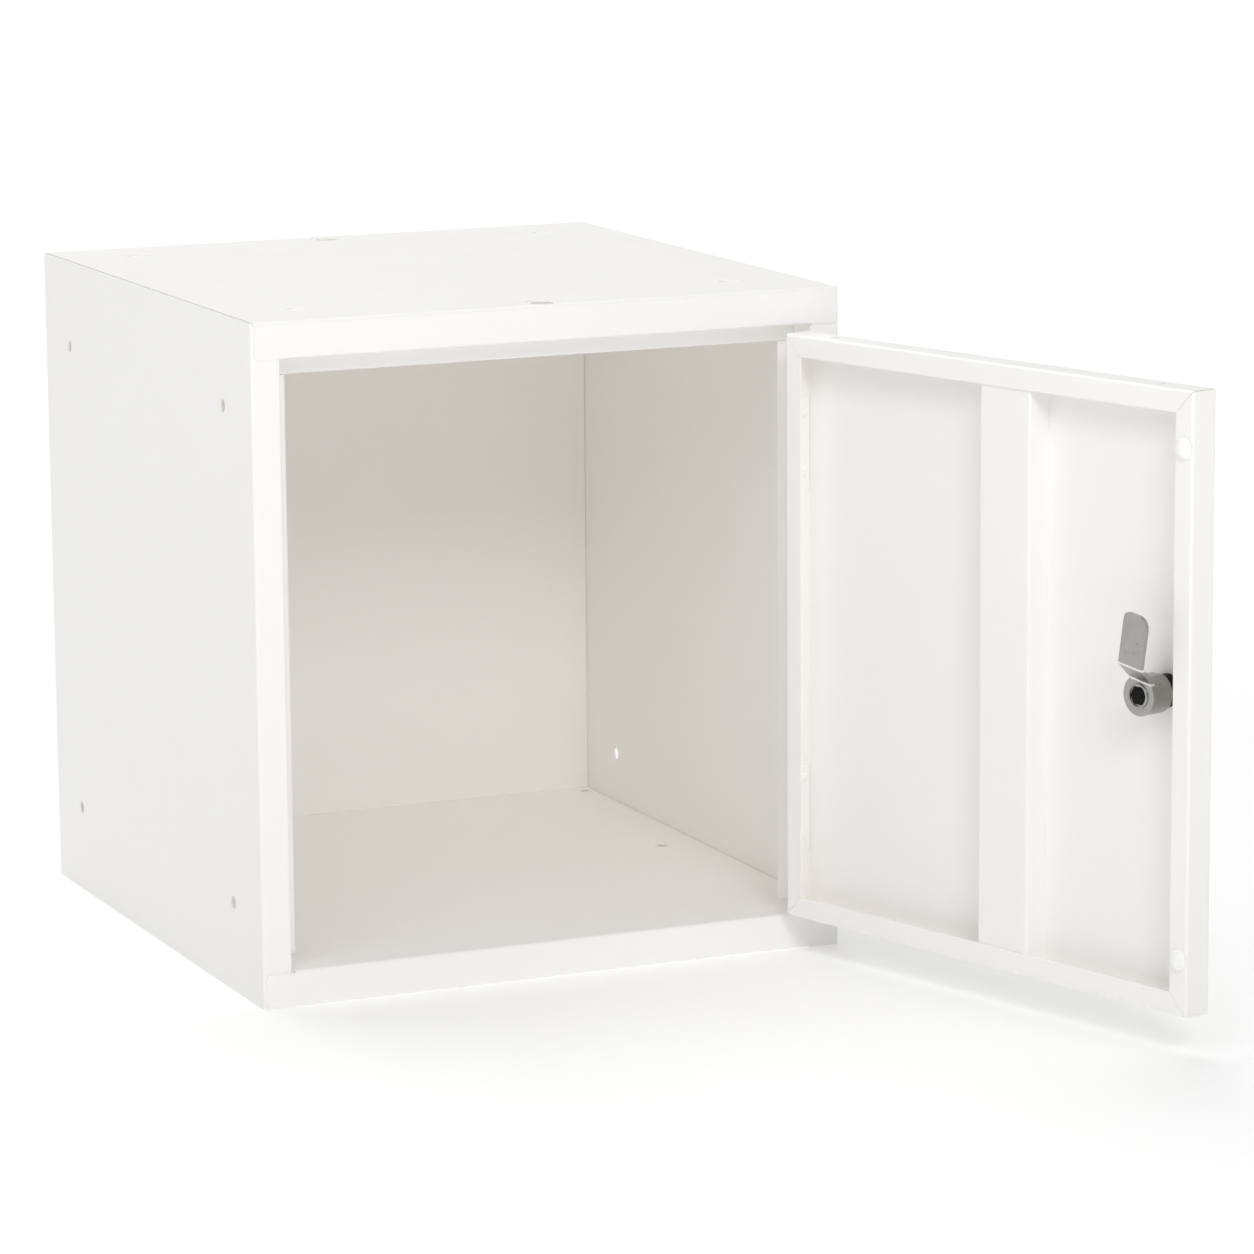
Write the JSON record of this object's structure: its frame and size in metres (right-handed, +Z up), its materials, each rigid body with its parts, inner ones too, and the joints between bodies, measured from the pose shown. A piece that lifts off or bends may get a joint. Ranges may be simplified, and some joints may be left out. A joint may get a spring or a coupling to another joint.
{
  "type": "locker cabinet",
  "caption": "Single-door steel cube locker with an open doorway, folded door, butt hinges, soft buffers and a cam lock.",
  "frame": {"origin": "middle of the locker body's underside, on the surface it stands on", "axes": "+Z up, the doorway faces -Y, the door is hinged on the +X side and stored 107 degrees open"},
  "size_m": [0.3644, 0.5831, 0.33],
  "materials": {
    "white_powder_coat": "fine-textured satin powder coat",
    "white_hardware": "painted over with the panels",
    "white_buffer": "smooth soft moulding",
    "satin_nickel": "satin nickel plate",
    "black_oxide": "black, low sheen",
    "brass_wafer": "stamped"
  },
  "bodies": {
    "cabinet": {"side_panel_left": "white_powder_coat", "side_panel_right": "white_powder_coat", "top_panel": "white_powder_coat", "floor_panel": "white_powder_coat", "back_panel": "white_powder_coat", "frame_rivets": "white_hardware", "hinge_frame_leaf_upper": "white_hardware", "hinge_frame_leaf_lower": "white_hardware", "hinge_pin_upper": "white_hardware", "hinge_pin_lower": "white_hardware"},
    "door": {"door_pan": "white_powder_coat", "door_stiffener": "white_powder_coat", "door_rivets": "white_hardware", "hinge_door_leaf_upper": "white_hardware", "hinge_door_leaf_lower": "white_hardware", "hinge_backing_plate_upper": "white_hardware", "hinge_backing_plate_lower": "white_hardware", "buffer_upper": "white_buffer", "buffer_lower": "white_buffer", "lock_housing": "satin_nickel", "lock_bezel": "satin_nickel", "lock_spacer": "black_oxide"},
    "lock": {"lock_plug": "satin_nickel", "lock_wafers": "brass_wafer", "lock_cam": "satin_nickel", "cam_nut": "satin_nickel", "cam_screw": "black_oxide"}
  },
  "joints": [
    {"name": "door_hinge", "type": "hinge", "parent": "cabinet", "child": "door", "pos_m": [0.13625, -0.16045, 0.165], "axis": [0, 0, 1], "range_deg": [-107, 73]},
    {"name": "lock_turn", "type": "hinge", "parent": "door", "child": "lock", "pos_m": [0.20439, -0.39513, 0.168], "axis": [0.9563, 0.2924, 0], "range_deg": [-9, 81]}
  ]
}
